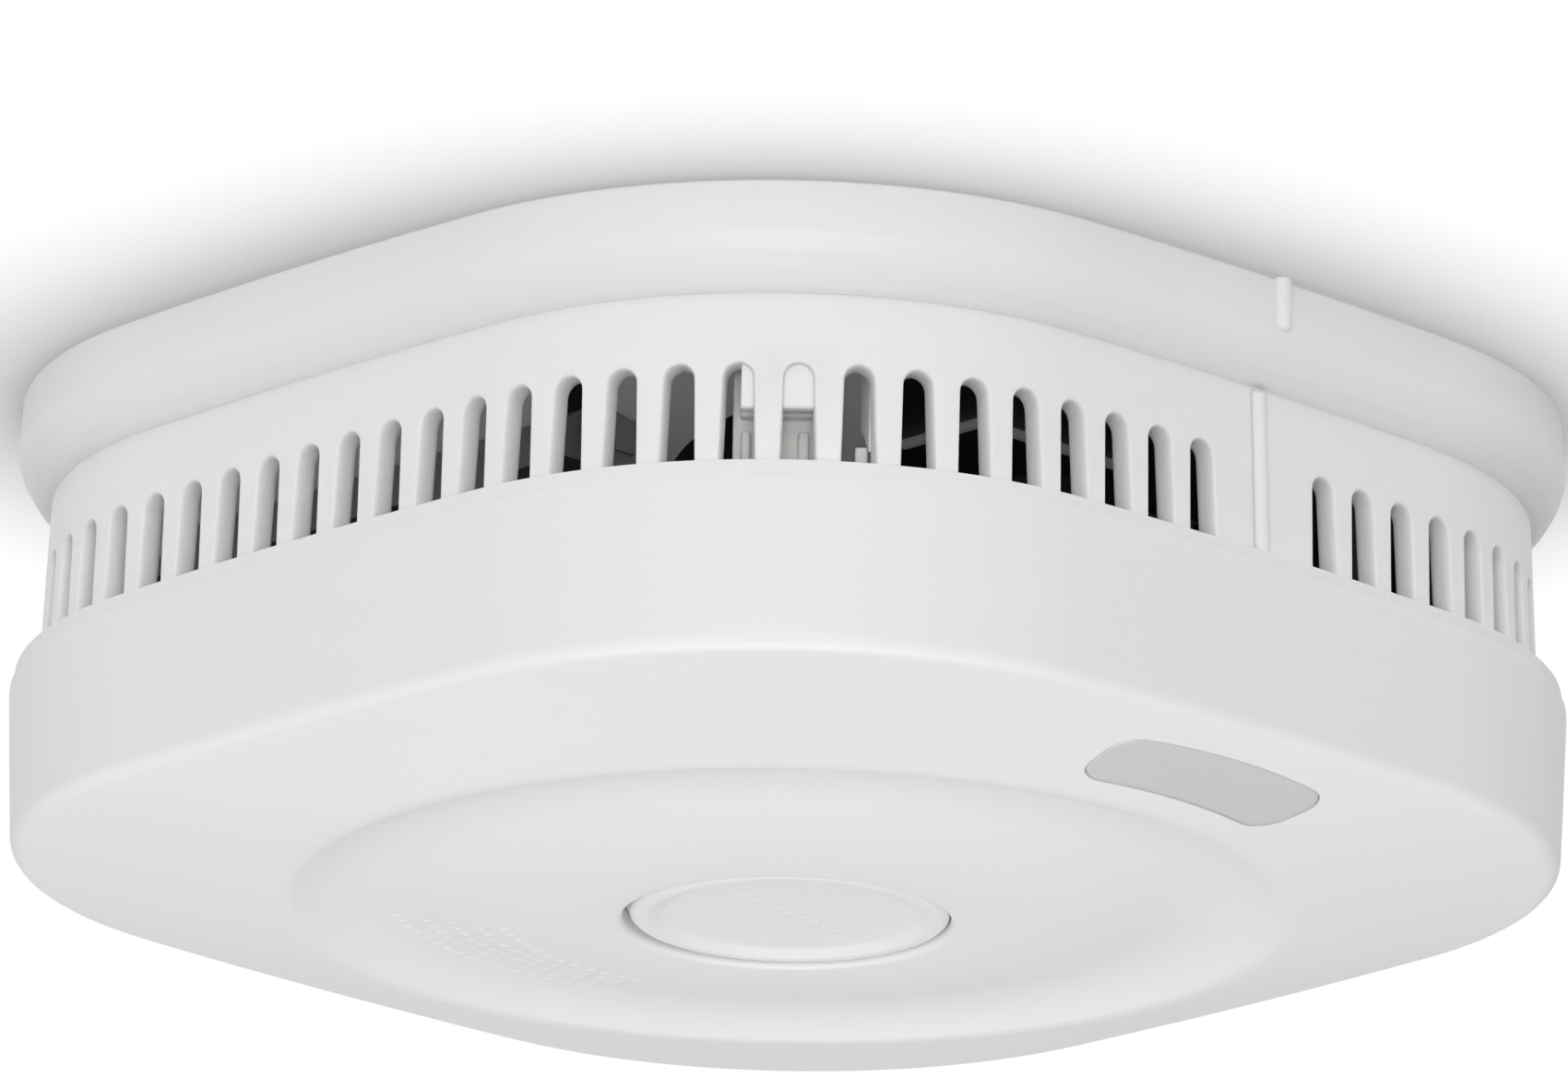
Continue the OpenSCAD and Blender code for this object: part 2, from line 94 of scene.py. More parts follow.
def ring_points(p):
    """A ring of the sweep: ("o", inset, z), ("c", radius, z) or ("m", inset, radius, share, z)."""
    round_xy = np.stack([np.cos(THETA), np.sin(THETA)], -1)
    shift = DISH_OFF if p[-1] < OFF_BELOW else 0
    if p[0] == "o":
        xy = on_outline(RUNS, p[1])
    elif p[0] == "c":
        xy = p[1] * round_xy + shift
    else:
        xy = on_outline(RUNS, p[1]) * (1 - p[3]) + (p[2] * round_xy + shift) * p[3]
    return np.concatenate([xy, np.full((len(xy), 1), p[-1])], 1)


# ---------------------------------------------------------------- mesh helpers
class Build:
    """Collects vertices (mm) and faces, then makes one object."""

    def __init__(self):
        self.v, self.f = [], []
        self.n = 0

    def add(self, verts, faces):
        verts = np.asarray(verts, float).reshape(-1, 3)
        self.v.append(verts)
        self.f += [tuple(i + self.n for i in f) for f in faces]
        self.n += len(verts)

    def grid(self, rows, closed_u=True, closed_v=False):
        """rows is an array (rows, columns, 3)."""
        rows = np.asarray(rows, float)
        nr, nc = rows.shape[:2]
        faces = []
        for i in range(nr if closed_v else nr - 1):
            a, b = i * nc, ((i + 1) % nr) * nc
            for j in range(nc if closed_u else nc - 1):
                k = (j + 1) % nc
                faces.append((a + j, a + k, b + k, b + j))
        self.add(rows, faces)

    def cap(self, first, count, step=1):
        """One face over every step-th vertex from the first."""
        self.f.append(tuple(first + i * step for i in range(count)))

    def sweep(self, path, closed=True):
        """Rings of ring_points joined one after the other."""
        self.grid([ring_points(p) for p in path], True, closed)

    def object(self, name, mat, sharp=35, merge=1e-4):
        """Links the mesh as an object; edges turned by less than sharp degrees are shaded smooth."""
        me = bpy.data.meshes.new(name)
        me.from_pydata((np.concatenate(self.v) * MM).tolist(), [], self.f)
        ob = bpy.data.objects.new(name, me)
        scene.collection.objects.link(ob)
        bm = bmesh.new()
        bm.from_mesh(me)
        bmesh.ops.remove_doubles(bm, verts=bm.verts, dist=merge * MM)
        bmesh.ops.recalc_face_normals(bm, faces=bm.faces)
        bm.to_mesh(me)
        bm.free()
        shade(ob, sharp)
        me.materials.append(mat)
        return ob


def shade(ob, sharp=35):
    """Smooth faces; edges turned by more than sharp degrees stay sharp."""
    me = ob.data
    bm = bmesh.new()
    bm.from_mesh(me)
    limit = math.radians(sharp)
    for e in bm.edges:
        e.smooth = len(e.link_faces) == 2 and e.calc_face_angle(0) < limit
    for f in bm.faces:
        f.smooth = True
    bm.to_mesh(me)
    bm.free()


def fillet(points, seg=5):
    """Rounds the corners of a 2-D path; a point is (x, y) or (x, y, radius)."""
    out = []
    n = len(points)
    for i, p in enumerate(points):
        if len(p) < 3 or p[2] <= 0 or i in (0, n - 1):
            out.append(p[:2])
            continue
        a, b, c = (np.array(q[:2], float) for q in (points[i - 1], p, points[i + 1]))
        u, w = (a - b) / np.linalg.norm(a - b), (c - b) / np.linalg.norm(c - b)
        half = math.acos(float(np.clip(u @ w, -1, 1))) / 2
        if half > math.radians(88):
            out.append(p[:2])
            continue
        cut = min(p[2] / math.tan(half), 0.49 * np.linalg.norm(a - b), 0.49 * np.linalg.norm(c - b))
        r = cut * math.tan(half)
        centre = b + (u + w) / np.linalg.norm(u + w) * r / math.sin(half)
        s, e = b + u * cut - centre, b + w * cut - centre
        full = math.acos(float(np.clip(s @ e / r / r, -1, 1)))
        for k in range(seg + 1):
            f = k / seg
            q = (s * math.sin((1 - f) * full) + e * math.sin(f * full)) / math.sin(full)
            out.append(tuple(centre + q))
    return out


def outline_path(points, seg=5):
    """Rings from rounded corners given as (inset, z, radius)."""
    return [("o", x, y) for x, y in fillet(points, seg)]


def circle_path(points, seg=5):
    """The same with round rings, given as (radius, z, corner radius)."""
    return [("c", x, y) for x, y in fillet(points, seg)]


def arc_row(r, angles, z, at=(0.0, 0.0)):
    """A row of points on a level arc."""
    return np.stack([at[0] + r * np.cos(angles), at[1] + r * np.sin(angles), np.full(len(angles), z)], -1)


def lathe(build, points, sides=192):
    """Rings of a part turned round Z; the first and last point may be on the axis."""
    tiny = 1e-3
    a = np.arange(sides) * 2 * math.pi / sides
    build.grid([arc_row(max(r, tiny), a, z) for r, z in points], True, False)
    n = build.n - len(points) * sides
    for k in (0, len(points) - 1):
        if points[k][0] <= tiny:
            build.cap(n + k * sides, sides)


def dome(build, centre, radius, rise, normal=(0, 0, -1), stretch=1.0, angle=0.0, sides=14):
    """A low raised pip that grows from a little below the surface."""
    n = np.array(normal, float)
    n /= np.linalg.norm(n)
    x = np.array([math.cos(angle), math.sin(angle), 0.0])
    x -= n * (x @ n)
    x /= np.linalg.norm(x)
    y = np.cross(n, x)
    a = np.arange(sides) * 2 * math.pi / sides
    ring = stretch * np.cos(a)[:, None] * x + np.sin(a)[:, None] * y
    profile = ((1.06, -0.25), (1.0, 0.0), (0.86, 0.5), (0.6, 0.84), (0.3, 0.97), (0.02, 1.0))
    build.grid([np.array(centre) + radius * r * ring + n * rise * h for r, h in profile], True, False)
    k = build.n - len(profile) * sides
    build.cap(k + (len(profile) - 1) * sides, sides)
    build.cap(k, sides)


def join(main, *others):
    """Makes the other meshes part of the main one."""
    bpy.ops.object.select_all(action="DESELECT")
    for o in others:
        o.select_set(True)
    main.select_set(True)
    bpy.context.view_layer.objects.active = main
    bpy.ops.object.join()
    return main


# ---------------------------------------------------------------- materials
def node_material(name):
    """A new material, its node tree and its principled shader."""
    mat = bpy.data.materials.new(name)
    mat.use_nodes = True
    nt = mat.node_tree
    return mat, nt, nt.nodes["Principled BSDF"]


def plastic(name, colour, roughness=0.42, grain=0.35, grain_scale=5200.0, tint=0.02, sss=0.0,
            metallic=0.0, transmission=0.0, edge=0.0002):
    """Moulded or drawn surface: slow colour drift, fine grain in bump and roughness, softened edges."""
    mat, nt, bsdf = node_material(name)
    new, link = nt.nodes.new, nt.links.new
    coord = new("ShaderNodeTexCoord")
    slow = new("ShaderNodeTexNoise")
    slow.inputs["Scale"].default_value = 55.0
    slow.inputs["Detail"].default_value = 3.0
    link(coord.outputs["Object"], slow.inputs["Vector"])
    ramp = new("ShaderNodeMapRange")
    ramp.inputs["To Min"].default_value = 1.0 - tint
    ramp.inputs["To Max"].default_value = 1.0 + tint * 0.4
    link(slow.outputs["Fac"], ramp.inputs["Value"])
    base = new("ShaderNodeVectorMath")
    base.operation = "SCALE"
    base.inputs[0].default_value = colour[:3]
    link(ramp.outputs["Result"], base.inputs["Scale"])
    link(base.outputs["Vector"], bsdf.inputs["Base Color"])
    fine = new("ShaderNodeTexNoise")
    fine.inputs["Scale"].default_value = grain_scale
    fine.inputs["Detail"].default_value = 2.0
    link(coord.outputs["Object"], fine.inputs["Vector"])
    rough = new("ShaderNodeMapRange")
    rough.inputs["To Min"].default_value = max(roughness - 0.05, 0.02)
    rough.inputs["To Max"].default_value = roughness + 0.05
    link(fine.outputs["Fac"], rough.inputs["Value"])
    link(rough.outputs["Result"], bsdf.inputs["Roughness"])
    bump = new("ShaderNodeBump")
    bump.inputs["Strength"].default_value = grain
    bump.inputs["Distance"].default_value = 0.00002
    link(fine.outputs["Fac"], bump.inputs["Height"])
    if edge > 0:
        soft = new("ShaderNodeBevel")
        soft.samples = 4
        soft.inputs["Radius"].default_value = edge
        link(soft.outputs["Normal"], bump.inputs["Normal"])
    link(bump.outputs["Normal"], bsdf.inputs["Normal"])
    bsdf.inputs["Metallic"].default_value = metallic
    bsdf.inputs["Transmission Weight"].default_value = transmission
    if sss > 0:
        bsdf.inputs["Subsurface Weight"].default_value = sss
        bsdf.inputs["Subsurface Radius"].default_value = (1.0, 0.95, 0.9)
        bsdf.inputs["Subsurface Scale"].default_value = 0.0008
    return mat


WHITE = plastic("white_moulding", (0.795, 0.795, 0.797), 0.47, 0.25)
LOUVRE_WHITE = plastic("louvre_moulding", (0.825, 0.825, 0.827), 0.47, 0.25, sss=0.4)
BUTTON_WHITE = plastic("button_moulding", (0.80, 0.80, 0.802), 0.42, 0.2)
WINDOW = plastic("frosted_window", (0.60, 0.60, 0.595), 0.3, 0.5, 2600.0, 0.03)
IVORY = plastic("natural_moulding", (0.72, 0.72, 0.7), 0.4, 0.2, sss=0.3)
CLEAR = plastic("clear_pipe", (0.85, 0.87, 0.86), 0.15, 0.1, transmission=0.7)
BLACK = plastic("black_moulding", (0.012, 0.012, 0.012), 0.55, 0.6, 3000.0, 0.2)
RESIN = plastic("dark_resin", (0.02, 0.02, 0.028), 0.2, 0.1)
LED = plastic("led_resin", (0.7, 0.08, 0.05), 0.12, 0.05, transmission=0.4)
STEEL = plastic("bright_steel", (0.62, 0.62, 0.63), 0.28, 0.4, 1800.0, 0.05, metallic=1.0)
SCREW = plastic("plated_screw", (0.58, 0.6, 0.63), 0.33, 0.5, 1500.0, 0.08, metallic=1.0)
BRASS = plastic("rolled_brass", (0.7, 0.5, 0.2), 0.3, 0.4, 1500.0, 0.06, metallic=1.0)
NICKEL = plastic("nickel_strip", (0.36, 0.36, 0.355), 0.55, 0.02, 2000.0, 0.04, metallic=0.3, edge=0.0)
SLEEVE = plastic("cell_sleeve", (0.3, 0.305, 0.31), 0.5, 0.02, 3000.0, 0.02, edge=0.0)
CAN = plastic("capacitor_sleeve", (0.03, 0.04, 0.09), 0.3, 0.2, 1200.0, 0.1)


def board_material():
    """Green laminate with straight tracks."""
    mat = plastic("board_laminate", (0.03, 0.15, 0.07), 0.35, 0.2)
    nt = mat.node_tree
    bsdf = nt.nodes["Principled BSDF"]
    new, link = nt.nodes.new, nt.links.new
    coord = new("ShaderNodeTexCoord")
    cells = new("ShaderNodeTexVoronoi")
    cells.distance = "MANHATTAN"
    cells.feature = "DISTANCE_TO_EDGE"
    cells.inputs["Scale"].default_value = 240.0
    link(coord.outputs["Object"], cells.inputs["Vector"])
    track = new("ShaderNodeMapRange")
    track.inputs["From Max"].default_value = 0.09
    link(cells.outputs["Distance"], track.inputs["Value"])
    mix = new("ShaderNodeMix")
    mix.data_type = "RGBA"
    mix.inputs["A"].default_value = (0.06, 0.24, 0.1, 1)
    mix.inputs["B"].default_value = (0.025, 0.13, 0.06, 1)
    link(track.outputs["Result"], mix.inputs["Factor"])
    link(mix.outputs["Result"], bsdf.inputs["Base Color"])
    return mat


def inner_plate():
    """White plate with black patches of painted shade on its underside, and a faint painted glow that
    stands in for light through the translucent walls.
    """
    mat = plastic("inner_plate", (0.78, 0.78, 0.77), 0.45, 0.2)
    nt = mat.node_tree
    bsdf = nt.nodes["Principled BSDF"]
    link = nt.links.new

    def step(kind, operation, *values):
        """One math node; each value is a number or the output of another node."""
        node = nt.nodes.new(kind)
        node.operation = operation
        for socket, value in zip(node.inputs, values):
            if isinstance(value, bpy.types.NodeSocket):
                link(value, socket)
            else:
                socket.default_value = value
        return node.outputs["Value"]

    place = nt.nodes.new("ShaderNodeTexCoord").outputs["Object"]
    split = nt.nodes.new("ShaderNodeSeparateXYZ")
    link(place, split.inputs["Vector"])
    # places of the black patches of painted shade under the plate
    across = step("ShaderNodeVectorMath", "DOT_PRODUCT", place, (math.sqrt(0.5), math.sqrt(0.5), 0.0))
    away = step("ShaderNodeVectorMath", "DISTANCE", place, (0.030, 0.006, -0.0108))
    disc = step("ShaderNodeMath", "LESS_THAN", away, 0.0354)
    left = step("ShaderNodeMath", "LESS_THAN", across, -0.002)
    right = step("ShaderNodeMath", "GREATER_THAN", across, 0.0084)
    strip = step("ShaderNodeMath", "COMPARE", across, -0.018, 0.0018)
    under = step("ShaderNodeMath", "LESS_THAN", split.outputs["Z"], -0.0106)
    painted_shade = step("ShaderNodeMath", "MAXIMUM", step("ShaderNodeMath", "MINIMUM", disc, left), right)
    painted_shade = step("ShaderNodeMath", "MINIMUM", step("ShaderNodeMath", "MAXIMUM", painted_shade, strip), under)
    # the plate's white, and black where the painted shade lies
    mix = nt.nodes.new("ShaderNodeMix")
    mix.data_type = "RGBA"
    mix.inputs["A"].default_value = (0.78, 0.78, 0.77, 1)
    mix.inputs["B"].default_value = (0.012, 0.012, 0.013, 1)
    link(painted_shade, mix.inputs["Factor"])
    link(mix.outputs["Result"], bsdf.inputs["Base Color"])
    # painted glow: the white of the plate gives off a little light of its own
    link(mix.outputs["Result"], bsdf.inputs["Emission Color"])
    bsdf.inputs["Emission Strength"].default_value = 0.09
    return mat


def gauze_material():
    """Woven gauze: two crossed wave patterns, open between the wires."""
    mat = plastic("steel_gauze", (0.22, 0.22, 0.23), 0.4, 0.3, 2000.0, 0.1, metallic=0.8, edge=0.0)
    nt = mat.node_tree
    bsdf = nt.nodes["Principled BSDF"]
    new, link = nt.nodes.new, nt.links.new
    uv = new("ShaderNodeUVMap")
    uv.uv_map = "weave"
    parts = []
    for axis in ("X", "Y"):
        wave = new("ShaderNodeTexWave")
        wave.bands_direction = axis
        wave.inputs["Scale"].default_value = 1.0
        link(uv.outputs["UV"], wave.inputs["Vector"])
        parts.append(wave.outputs["Fac"])
    top = new("ShaderNodeMath")
    top.operation = "MAXIMUM"
    link(parts[0], top.inputs[0])
    link(parts[1], top.inputs[1])
    cut = new("ShaderNodeMath")
    cut.operation = "GREATER_THAN"
    cut.inputs[1].default_value = 0.72
    link(top.outputs[0], cut.inputs[0])
    link(cut.outputs[0], bsdf.inputs["Alpha"])
    return mat


# ---------------------------------------------------------------- levels (mm), as in the solids
Z_HEAD, Z_RIM, Z_HOOP = -9.0, -23.65, -26.4
Z_DECK, Z_EDGE, Z_DISH, Z_CROWN = -10.8, -39.34, -42.87, -44.0
DISH_R, HOLE_R, LIP_R = 42.4, 13.8, 0.65


def dish_profile():
    """Radii and heights of the dish from the hole to its edge, from slopes that change steadily."""
    r = np.linspace(HOLE_R + LIP_R, DISH_R - 1.1, 72)
    slope = np.interp(r, (HOLE_R + 1, 31.0, 36.0, 41.4), (0.0, 0.235, 0.0, -0.42))
    rise = np.concatenate([[0], np.cumsum((slope[1:] + slope[:-1]) / 2 * np.diff(r))])
    return r, Z_CROWN + rise, slope[-1]


# ---------------------------------------------------------------- mounting base
def slot_cutter():
    """Four screw slots, as solids that pass through the base plate."""
    cut = Build()
    for q in range(4):
        a = q * math.pi / 2
        ring = [(30 + s * 2.3 + 2.2 * math.cos(t), 2.2 * math.sin(t))
                for s, lo in ((1, -90), (-1, 90)) for t in np.radians(np.linspace(lo, lo + 180, 13))]
        pts = [(x * math.cos(a) - y * math.sin(a), x * math.sin(a) + y * math.cos(a)) for x, y in ring]
        cut.grid([[(x, y, z) for x, y in pts] for z in (-4.0, 1.5)], True, False)
        n = cut.n - 2 * len(pts)
        cut.cap(n, len(pts))
        cut.cap(n + len(pts), len(pts))
    return cut.object("slot_cutter", WHITE, 60)


def make_base():
    """Base shell with its screw slots, alignment rib, bayonet ring and three claws."""
    b = Build()
    outer = outline_path([(0.7, 0.0), (0.42, -0.1, 0.3), (0.12, -4.6, 1.8), (0.55, -5.9, 2.5),
                          (1.45, -7.4, 3.0), (2.5, -8.45, 1.5), (3.1, -8.77, 0.08), (4.1, -8.77, 0.2),
                          (4.28, -7.1, 0.5), (2.2, -4.7, 1.5), (2.2, -2.2, 0.5), (9.0, -2.2)], 6)
    plate = [("m", 9.0, 20.0, w, -2.2) for w in np.linspace(0.25, 0.99, 5)]
    lip = circle_path([(20.4, -2.2), (20.0, -2.2, 0.25), (20.0, 0.0, 0.25), (20.5, 0.0)], 4)
    back = [("m", 0.75, 20.5, w, 0.0) for w in np.linspace(0.98, 0.02, 12)]
    b.sweep(outer + plate + lip + back)
    ob = b.object("base_shell", WHITE, 50)
    carve(ob, slot_cutter())
    more = Build()
    more.grid(rib_rows((HALF - 0.45, 0.0), 0.85, -0.02, -4.42, 0.0))
    turn = np.linspace(0, 2 * math.pi, 145)[:-1]
    ring = [(44.2, -1.0), (46.0, -1.0), (46.0, -7.6), (45.8, -7.8), (44.4, -7.8), (44.2, -7.6)]
    more.grid([arc_row(r, turn, z) for r, z in ring], True, True)
    claw = [(45, -6.4), (42.3, -6.4), (42.2, -6.5), (42.2, -7.7), (42.3, -7.8), (45, -7.8)]
    steps = 9
    for k in range(3):
        a = np.radians(np.linspace(-7, 7, steps) + 120 * k + 60)
        more.grid([arc_row(r, a, z) for r, z in claw], False, True)
        n = more.n - len(claw) * steps
        more.cap(n, len(claw), steps)
        more.cap(n + steps - 1, len(claw), steps)
    return join(ob, more.object("base_details", WHITE, 35))


def rib_rows(at, r, z_top, z_bottom, lean):
    """A half-round rib on the +X side with a softly closed lower end."""
    a = np.linspace(0, 2 * math.pi, 25)[:-1]
    levels = [(z_top, 1.0)] + [(z_top + (z_bottom - z_top) * f, 1.0) for f in (0.25, 0.5, 0.75, 0.9)]
    levels += [(z_bottom + 0.12, 0.9), (z_bottom, 0.6), (z_bottom, 0.02)]
    rows = []
    for z, s in levels:
        rows.append(arc_row(r * s, a, z, (at[0] + lean * (z_top - z), at[1])))
    return rows


def carve(ob, cutter):
    """Cuts one object out of another and removes the cutter."""
    m = ob.modifiers.new("cut", "BOOLEAN")
    m.operation = "DIFFERENCE"
    m.solver = "EXACT"
    m.object = cutter
    bpy.context.view_layer.objects.active = ob
    bpy.ops.object.modifier_apply(modifier=m.name)
    bpy.data.objects.remove(cutter)
    shade(ob, 38)


# ---------------------------------------------------------------- grille ring
R_TOP, Z_ARC, Z_SLOT_END = 1.17, -16.02, -24.6
Z_CELL_TOP, Z_CELL_BOTTOM, WALL = -13.9, -25.9, 2.1
SLOPE = 0.027             # half a slot widens by this for each mm down from its round top
TOP_IN = 3.07             # inset of the wall's face at its top edge


def wall_inset(z):
    """Inset of the leaning louvre wall's outer face at a level."""
    return np.where(z > Z_RIM, TOP_IN + (FACE_IN - TOP_IN) * (Z_HEAD - z) / (Z_HEAD - Z_RIM), FACE_IN)


def wall_row(runs, z, depth=0.0):
    """A row of points at a level, some depth behind the wall's outer face."""
    xy = on_outline(runs, float(wall_inset(z)) + depth)
    return np.concatenate([xy, np.full((len(runs), 1), z)], 1)


def slot_loop(d):
    """Slot outline grown by d: bottom middle, right side up, over the round top, left side down."""
    low = Z_SLOT_END - d

    def half(z):
        return R_TOP + d + SLOPE * (Z_ARC - z)

    pts = [(half(low) * k / 4, low) for k in range(4)]
    pts += [(half(z), z) for z in np.linspace(low, Z_ARC, 11)[:-1]]
    pts += [((R_TOP + d) * math.cos(a), Z_ARC + (R_TOP + d) * math.sin(a))
            for a in np.linspace(0, math.pi / 2, 7)[:-1]]
    return pts + [(0.0, Z_ARC + R_TOP + d)] + [(-x, z) for x, z in pts[:0:-1]]


def slot_middle(i):
    """The slots sit a little round from the cell middles, most of all next to the front corner."""
    return i * PITCH + 0.1 + 0.62 * math.exp(-((i - 15) / 5.8) ** 2)


def cell_edge():
    """Outline of one louvre cell, with its points in the order of slot_loop."""
    p = PITCH / 2
    pts = [(p * k / 4, Z_CELL_BOTTOM) for k in range(4)]
    pts += [(p, z) for z in np.linspace(Z_CELL_BOTTOM, Z_ARC, 11)[:-1]]
    pts += [(p, Z_ARC), (p, (Z_ARC + Z_CELL_TOP) / 2)]
    pts += [(p * (1 - k / 4), Z_CELL_TOP) for k in range(4)]
    return pts + [(0.0, Z_CELL_TOP)] + [(-x, z) for x, z in pts[:0:-1]]


def slab(b, run0, run1, section, steps=12):
    """A closed bar that follows the wall; section is a loop of (depth behind the face, z)."""
    runs = np.linspace(run0, run1, steps + 1)
    b.grid([wall_row(runs, z, depth) for depth, z in section], False, True)
    n = b.n - len(section) * (steps + 1)
    for j in (0, steps):
        b.cap(n + j, len(section), steps + 1)


def cell_loops():
    """Loops of a cell from its outer edge through the opening to its inner edge: points, depth, share."""
    edge = np.array(cell_edge())
    out_r, out_deep, in_r = 0.24, 1.1, 0.3
    first = np.array(slot_loop(out_r + 0.02))
    loops = [(edge, 0.0, 0.0), (edge * 0.5 + first * 0.5, 0.0, 0.5), (first, 0.0, 1.0)]
    for k in range(7):
        a = math.radians(15 * k)
        loops.append((np.array(slot_loop(out_r * (1 - math.sin(a)))), out_deep * (1 - math.cos(a)), 1.0))
    loops.append((np.array(slot_loop(0.0)), 1.4, 1.0))
    for k in range(4):
        a = math.radians(90 - 30 * k)
        loops.append((np.array(slot_loop(in_r * (1 - math.sin(a)))), WALL - in_r * (1 - math.cos(a)), 1.0))
    inner = np.array(slot_loop(in_r))
    loops.append((edge * 0.5 + inner * 0.5, WALL, 0.5))
    loops.append((edge, WALL, 0.0))
    return loops


def make_grille():
    """The wall of louvres with its upper flange, lower hoop, rib and two moulded fillings."""
    b = Build()
    loops = cell_loops()
    side_z = [z for x, z in cell_edge()[4:16]] + [Z_CELL_TOP]
    for i in range(COUNT):
        if i in BLANK:
            runs = i * PITCH + np.linspace(-0.5, 0.5, COLS + 1) * PITCH
            for depth in (0.0, WALL):
                b.grid([wall_row(runs, z, depth) for z in side_z], False, False)
            continue
        rows = []
        for pts, depth, share in loops:
            off = share * (slot_middle(i) - i * PITCH)
            xy = on_outline(i * PITCH + off + pts[:, 0], wall_inset(pts[:, 1]) + depth)
            rows.append(np.concatenate([xy, pts[:, 1:2]], 1))
        b.grid(rows, True, False)
    top, knee = float(wall_inset(Z_CELL_TOP)), float(wall_inset(-11.5))
    flange = outline_path([(top, Z_CELL_TOP), (knee, -11.5), (3.08, -8.71, 0.1), (4.4, -8.71, 0.1),
                           (4.4, Z_HEAD, 0.1), (5.0, Z_HEAD), (5.0, Z_DECK), (6.4, Z_DECK, 0.2),
                           (6.4, -12.2, 0.4), (4.97, -12.2, 0.5), (top + WALL, Z_CELL_TOP)], 5)
    b.sweep(flange, False)
    hoop = outline_path([(FACE_IN, Z_CELL_BOTTOM), (FACE_IN, Z_HOOP, 0.2), (4.35, Z_HOOP, 0.2),
                         (4.35, Z_CELL_BOTTOM)], 4)
    b.sweep(hoop, False)
    # fillings behind and inside the louvres of the front corner
    slab(b, 44.3, 51.6, [(0.32, -13.2), (0.32, -18.4), (0.45, -18.56), (1.3, -18.56), (1.3, -13.2)])
    slab(b, 55.12, 56.7, [(1.6, -13.2), (1.6, -21.6), (2.3, -21.2), (3.1, -20.2), (4.0, -19.4),
                          (4.8, -19.1), (4.8, -13.2)])
    ob = b.object("grille_shell", LOUVRE_WHITE, 40, 1e-3)
    r = Build()
    r.grid(rib_rows((HALF - 3.42, 0.0), 0.9, Z_HEAD - 0.25, -23.6, 0.6 / 14.4))
    return join(ob, r.object("grille_rib", LOUVRE_WHITE))


# ---------------------------------------------------------------- front cover
def face_rows(inset, z0, radius, z1, steps=28):
    """Rings that change evenly from the outline to a circle."""
    return [("m", inset, radius, w, z0 + (z1 - z0) * w) for w in np.linspace(0, 1, steps + 1)]


def make_cover():
    """The cover's shell, and its surface for placing what sits on it."""
    b = Build()
    path = outline_path([(2.2, -26.0), (2.2, Z_RIM, 0.25), (0.46, Z_RIM, 0.25), (0.40, -24.4, 0.5),
                         (0.38, -24.9, 0.15), (0.04, -25.25, 0.4), (0.02, -25.8, 1.0), (0.10, -28.0),
                         (0.28, -33.0), (0.46, -37.6)], 6)
    edge_r = 1.5
    path += [("o", 0.48 + edge_r - edge_r * math.cos(a), -37.91 - edge_r * math.sin(a))
             for a in np.radians(np.linspace(0, 72, 9))]
    r, z, slope = dish_profile()
    out_r, out_z, out_slope = DISH_R + 1.3, Z_DISH + 0.26, 0.2
    path += face_rows(1.66, Z_EDGE - 0.05, out_r, out_z)
    # a curve with both end slopes leads from the face over the dish's rim
    mid_r = (z[-1] - slope * r[-1] - out_z + out_slope * out_r) / (out_slope - slope)
    mid_z = out_z + out_slope * (mid_r - out_r)
    for k in np.linspace(0, 1, 9)[1:-1]:
        p, q, w = (1 - k) ** 2, 2 * k * (1 - k), k ** 2
        path.append(("c", p * out_r + q * mid_r + w * r[-1], p * out_z + q * mid_z + w * z[-1]))
    path += [("c", a, b) for a, b in zip(r[:0:-1], z[:0:-1])]
    path += [("c", HOLE_R + LIP_R - LIP_R * math.sin(a), Z_CROWN + LIP_R - LIP_R * math.cos(a))
             for a in np.radians(np.linspace(8, 90, 8))]
    path += circle_path([(HOLE_R, -42.6), (HOLE_R, -42.0, 0.2), (16.0, -41.8), (31.0, -39.7), (38.5, -39.6),
                         (41.0, -39.9)], 3)
    path += face_rows(2.9, -38.0, 41.4, Z_DISH + 2.2, 8)[::-1]
    path += outline_path([(2.62, -36.5), (2.3, -28.6), (4.3, -27.8), (4.3, Z_HOOP, 0.2), (2.25, Z_HOOP)], 3)
    b.sweep(path)
    ob = b.object("cover_shell", WHITE, 42)
    bm = bmesh.new()
    bm.from_mesh(ob.data)
    surface = BVHTree.FromBMesh(bm)
    bm.free()
    return ob, surface


def height(surface, x, y):
    """Height in mm of the cover's outer face at a place in mm, and its downward normal."""
    hit = surface.ray_cast(Vector((x * MM, y * MM, -0.06)), Vector((0, 0, 1)))
    n = hit[1] if hit[1].z < 0 else -hit[1]
    return hit[0].z / MM, n


def on_face(surface, places, sink=0.0):
    """Points on the cover's outer face, or sunk into it."""
    return [(x, y, height(surface, x, y)[0] + sink) for x, y in places]


W_IN, W_OUT = 45.8, 53.0          # radii of the window's inner and outer edge
W_HALF, W_TURN = 13.65, 0.35      # half its angle, and its turn from the X axis, in degrees


